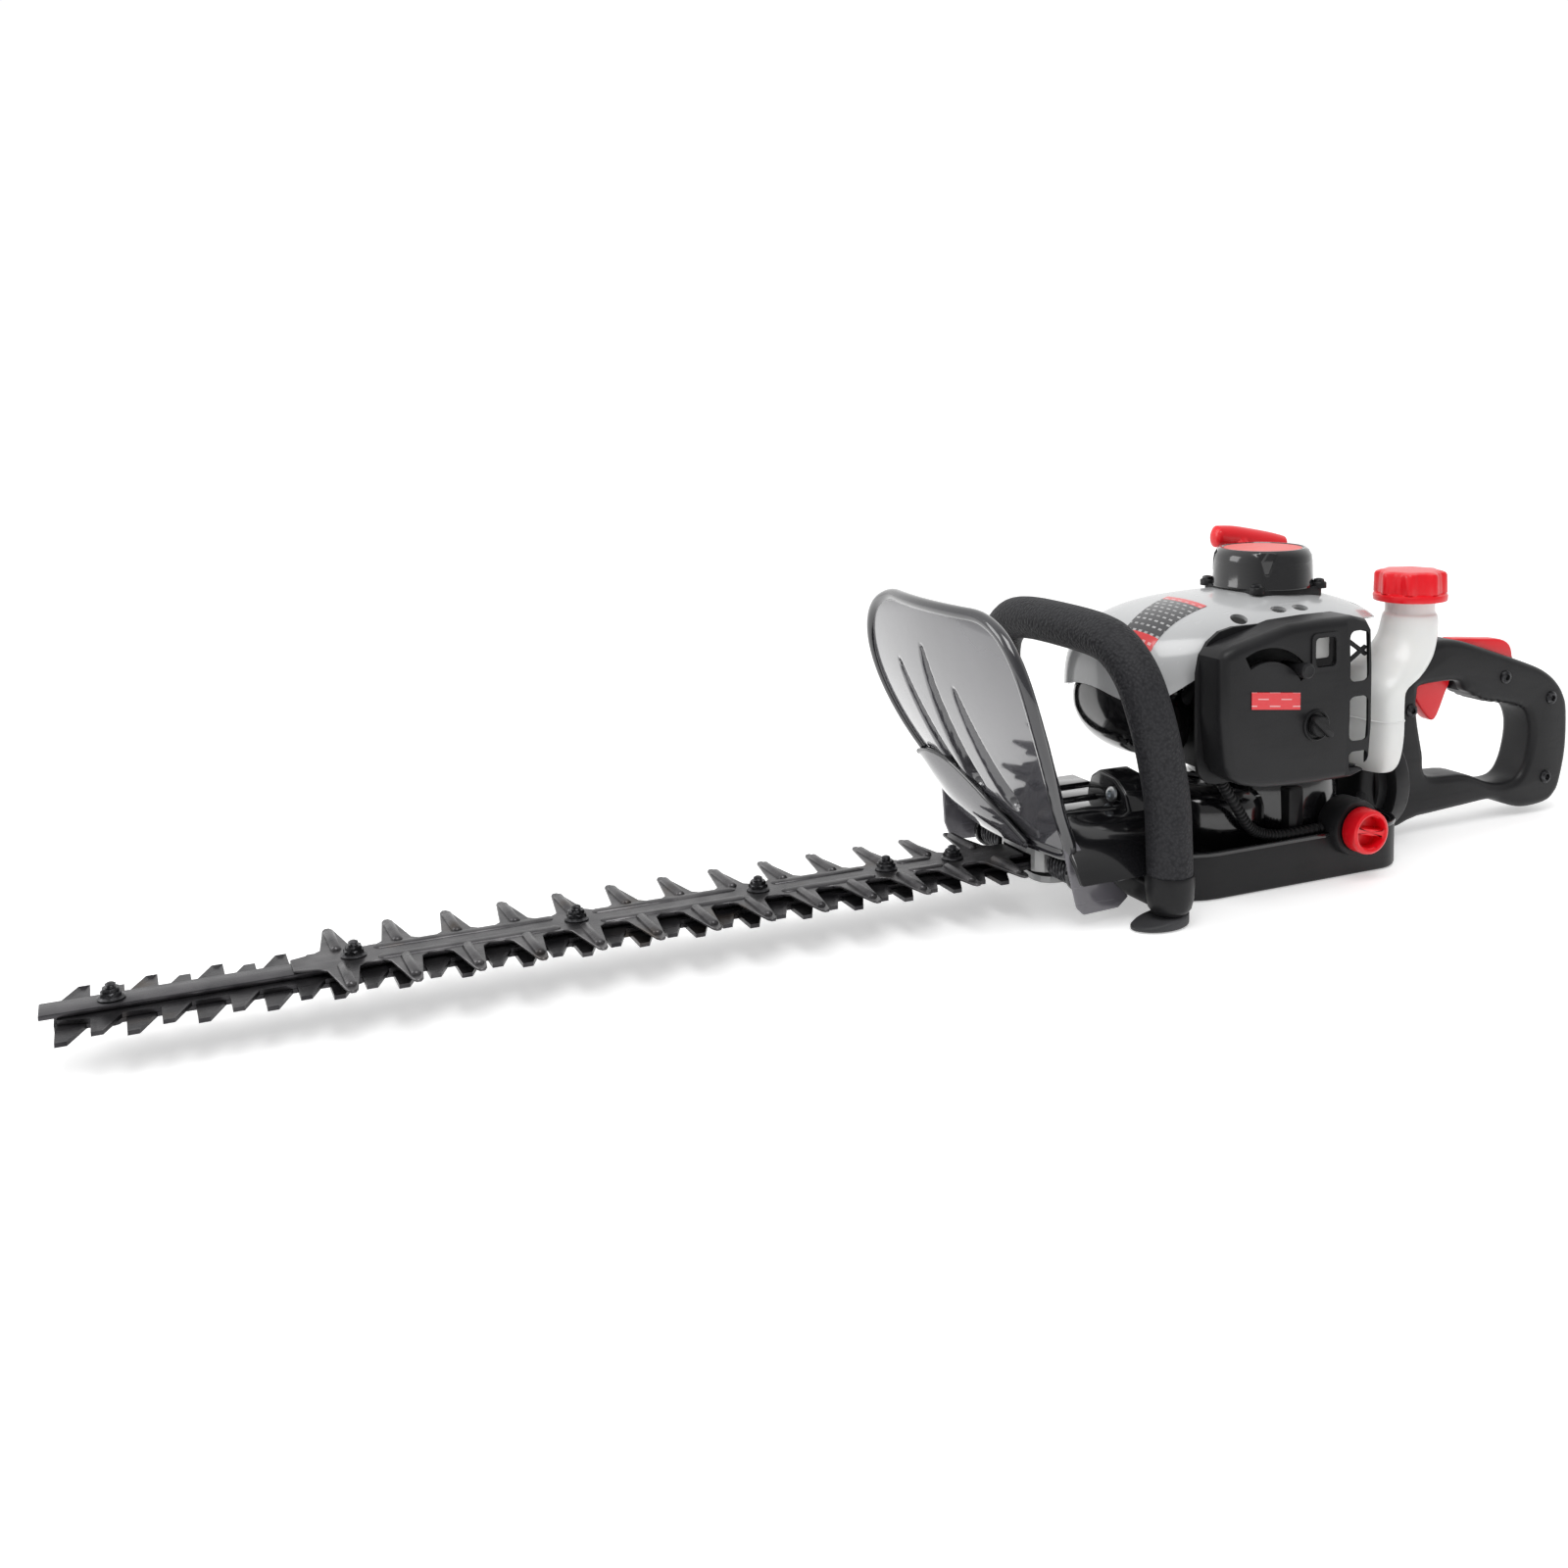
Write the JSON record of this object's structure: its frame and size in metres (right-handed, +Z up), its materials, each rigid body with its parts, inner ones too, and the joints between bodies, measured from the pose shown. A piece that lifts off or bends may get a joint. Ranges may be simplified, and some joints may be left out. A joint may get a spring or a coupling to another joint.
{
  "type": "petrol hedge trimmer",
  "caption": "Petrol hedge trimmer: long double-sided reciprocating blade, engine with pull start, looped front handle with a hand guard, and a D-shaped rear handle that swivels.",
  "frame": {"origin": "on the engine's crank axis, in the plane of the base's flat underside", "axes": "+X from the blade towards the rear handle, +Z up along the crank axis, +Y towards the side away from the air filter"},
  "size_m": [1.0916, 0.222, 0.234],
  "materials": {
    "blade_steel": "ground spring steel, dark oiled grey",
    "zinc_steel": "bright zinc-plated steel",
    "dark_bolt": "blackened steel",
    "cast_alloy": "die-cast alloy, matt silver grey",
    "black_gloss": "glossy black moulding",
    "black_satin": "satin black moulding, fine grain",
    "grey_gloss": "glossy light grey moulding",
    "smoke_gloss": "glossy smoke black moulding",
    "red_plastic": "red moulding with a soft sheen",
    "foam_grip": "soft black foam grip with a leathery skin",
    "foot_rubber": "dark grey rubber",
    "white_tank": "milky translucent polyethylene",
    "filter_foam": "open-cell filter foam",
    "white_ceramic": "white glazed insulator",
    "rope": "braided cord"
  },
  "bodies": {
    "chassis": {"air_filter_base": "black_satin", "air_filter_cover": "black_satin", "air_filter_element": "filter_foam", "av_spring_left": "dark_bolt", "av_spring_right": "dark_bolt", "base_housing": "black_satin", "blade_bolt_1": "dark_bolt", "blade_bolt_2": "dark_bolt", "blade_bolt_3": "dark_bolt", "blade_bolt_4": "dark_bolt", "blade_bolt_5": "dark_bolt", "blade_bolt_6": "dark_bolt", "carburettor": "cast_alloy", "clutch_housing": "black_gloss", "comb_guard": "blade_steel", "crankcase": "cast_alloy", "cylinder": "cast_alloy", "front_foot_left": "foot_rubber", "front_foot_right": "foot_rubber", "front_handle": "foam_grip", "fuel_tank": "white_tank", "gear_arbor": "zinc_steel", "gear_case": "cast_alloy", "gear_case_cover": "cast_alloy", "guide_bar": "blade_steel", "hand_guard": "smoke_gloss", "handle_end_cap_left": "black_satin", "handle_end_cap_right": "black_satin", "ignition_coil": "black_satin", "muffler": "dark_bolt", "plug_boot": "black_satin", "recoil_housing": "black_gloss", "shroud_lower_front": "black_gloss", "shroud_upper": "grey_gloss", "spark_plug": "white_ceramic", "starter_rope": "rope", "swivel_collar": "black_satin", "throttle_cable": "black_satin"},
    "upper_blade": {"upper_blade": "blade_steel"},
    "lower_blade": {"lower_blade": "blade_steel"},
    "drive_gear": {"drive_gear": "zinc_steel"},
    "clutch_drum": {"clutch_drum": "zinc_steel"},
    "crank": {"crankshaft": "zinc_steel", "flywheel_fan": "cast_alloy", "clutch_rotor": "dark_bolt"},
    "piston": {"piston": "zinc_steel"},
    "choke_lever": {"choke_lever": "black_satin"},
    "filter_cover_knob": {"filter_cover_knob": "black_satin"},
    "recoil_reel": {"recoil_reel": "black_satin"},
    "starter_grip": {"starter_grip": "red_plastic"},
    "fuel_cap": {"fuel_cap": "red_plastic"},
    "rear_handle": {"rear_handle_left": "black_satin", "rear_handle_right": "black_satin"},
    "throttle_trigger": {"throttle_trigger": "red_plastic"},
    "lock_lever": {"lock_lever": "red_plastic"},
    "stop_switch": {"stop_switch": "red_plastic"},
    "swivel_release_knob": {"swivel_release_knob": "red_plastic"}
  },
  "joints": [
    {"name": "upper_blade_slide", "type": "slide", "parent": "chassis", "child": "upper_blade", "axis": [1, 0, 0], "range_m": [0, 0.0175]},
    {"name": "lower_blade_slide", "type": "slide", "parent": "chassis", "child": "lower_blade", "axis": [1, 0, 0], "range_m": [-0.0175, 0]},
    {"name": "drive_gear_spin", "type": "hinge", "parent": "chassis", "child": "drive_gear", "pos_m": [-0.045, 0, 0.041], "axis": [0, 0, 1], "continuous": true},
    {"name": "clutch_drum_spin", "type": "hinge", "parent": "chassis", "child": "clutch_drum", "pos_m": [0, 0, 0.065], "axis": [0, 0, 1], "continuous": true},
    {"name": "crank_spin", "type": "hinge", "parent": "chassis", "child": "crank", "pos_m": [0, 0, 0.106], "axis": [0, 0, 1], "continuous": true},
    {"name": "piston_slide", "type": "slide", "parent": "chassis", "child": "piston", "axis": [1, 0, 0], "range_m": [0, 0.026]},
    {"name": "choke_lever_turn", "type": "hinge", "parent": "chassis", "child": "choke_lever", "pos_m": [-0.0765, -0.084, 0.1345], "axis": [0, -1, 0], "range_deg": [0, 62]},
    {"name": "filter_cover_knob_turn", "type": "hinge", "parent": "chassis", "child": "filter_cover_knob", "pos_m": [-0.038, -0.104, 0.119], "axis": [0, 1, 0], "range_deg": [0, 90]},
    {"name": "starter_grip_pull", "type": "slide", "parent": "chassis", "child": "starter_grip", "axis": [0, 1, 0], "range_m": [0, 0.5], "stiffness_N_per_m": 12, "springref_m": -0.25, "deforming": ["starter_rope"]},
    {"name": "recoil_reel_spin", "type": "hinge", "parent": "chassis", "child": "recoil_reel", "pos_m": [0, 0, 0.2115], "axis": [0, 0, 1], "range_deg": [0, 1220]},
    {"name": "fuel_cap_turn", "type": "hinge", "parent": "chassis", "child": "fuel_cap", "pos_m": [0.106, -0.032, 0.19], "axis": [0, 0, 1], "continuous": true},
    {"name": "rear_handle_swivel", "type": "hinge", "parent": "chassis", "child": "rear_handle", "pos_m": [0.104, 0, 0.047], "axis": [1, 0, 0], "range_deg": [-90, 90]},
    {"name": "throttle_trigger_squeeze", "type": "hinge", "parent": "rear_handle", "child": "throttle_trigger", "pos_m": [0.139, 0, 0.122], "axis": [0, -1, 0], "range_deg": [0, 12], "stiffness_Nm_per_rad": 0.6, "springref_deg": -20.05},
    {"name": "lock_lever_press", "type": "hinge", "parent": "rear_handle", "child": "lock_lever", "pos_m": [0.177, 0, 0.1365], "axis": [0, 1, 0], "range_deg": [0, 10], "stiffness_Nm_per_rad": 0.5, "springref_deg": -20.05},
    {"name": "stop_switch_slide", "type": "slide", "parent": "rear_handle", "child": "stop_switch", "axis": [1, 0, 0], "range_m": [0, 0.004]},
    {"name": "swivel_release_turn", "type": "hinge", "parent": "chassis", "child": "swivel_release_knob", "pos_m": [0.022, -0.08, 0.035], "axis": [0, 1, 0], "range_deg": [0, 90]}
  ],
  "couplings": [
    {"joint": "lower_blade_slide", "follows": "upper_blade_slide", "ratio": -1},
    {"joint": "clutch_drum_spin", "follows": "drive_gear_spin", "ratio": -4},
    {"joint": "recoil_reel_spin", "follows": "starter_grip_pull", "rad_per_m": 42.55}
  ]
}
